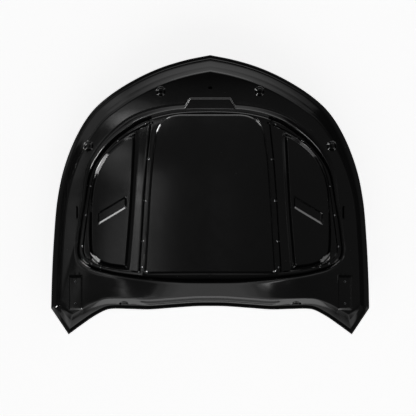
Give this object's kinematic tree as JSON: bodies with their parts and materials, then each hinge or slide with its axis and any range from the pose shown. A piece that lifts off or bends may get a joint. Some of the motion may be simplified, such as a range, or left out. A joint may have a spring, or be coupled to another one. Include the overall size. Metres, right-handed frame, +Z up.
{
  "type": "car bonnet",
  "caption": "Bare car bonnet lying outer skin down: a pointed outer skin hemmed over a pressed inner frame with an open middle, riveted side panels and hinge seats.",
  "frame": {"origin": "middle of the bonnet's bounding box, on the surface that the outer skin lies on", "axes": "+X to the right of the picture across the bonnet, +Y towards the nose, +Z up out of the underside"},
  "size_m": [1.462, 1.285, 0.1273],
  "materials": {
    "skin_primer": "black electrophoretic primer, satin gloss",
    "frame_primer": "black electrophoretic primer, glossy",
    "panel_primer": "black electrophoretic primer, glossy",
    "hidden_primer": "black primer, satin",
    "rivet_primer": "primer over bright rivet heads",
    "zinc": "zinc plated"
  },
  "bodies": {
    "root": {"outer_skin": "skin_primer", "inner_frame": "frame_primer", "striker_reinforcement": "hidden_primer", "striker_nut_right": "zinc", "striker_nut_left": "zinc", "side_panel_right": "panel_primer", "hinge_reinforcement_right": "hidden_primer", "hinge_nut_right_front": "zinc", "hinge_nut_right_rear": "zinc", "rivet_right_1": "rivet_primer", "rivet_right_2": "rivet_primer", "rivet_right_3": "rivet_primer", "rivet_right_4": "rivet_primer", "rivet_right_5": "rivet_primer", "rivet_right_6": "rivet_primer", "rivet_right_7": "rivet_primer", "rivet_right_8": "rivet_primer", "rivet_right_9": "rivet_primer", "rivet_right_10": "rivet_primer", "rivet_right_11": "rivet_primer", "side_panel_left": "panel_primer", "hinge_reinforcement_left": "hidden_primer", "hinge_nut_left_front": "zinc", "hinge_nut_left_rear": "zinc", "rivet_left_1": "rivet_primer", "rivet_left_2": "rivet_primer", "rivet_left_3": "rivet_primer", "rivet_left_4": "rivet_primer", "rivet_left_5": "rivet_primer", "rivet_left_6": "rivet_primer", "rivet_left_7": "rivet_primer", "rivet_left_8": "rivet_primer", "rivet_left_9": "rivet_primer", "rivet_left_10": "rivet_primer", "rivet_left_11": "rivet_primer"}
  },
  "joints": []
}
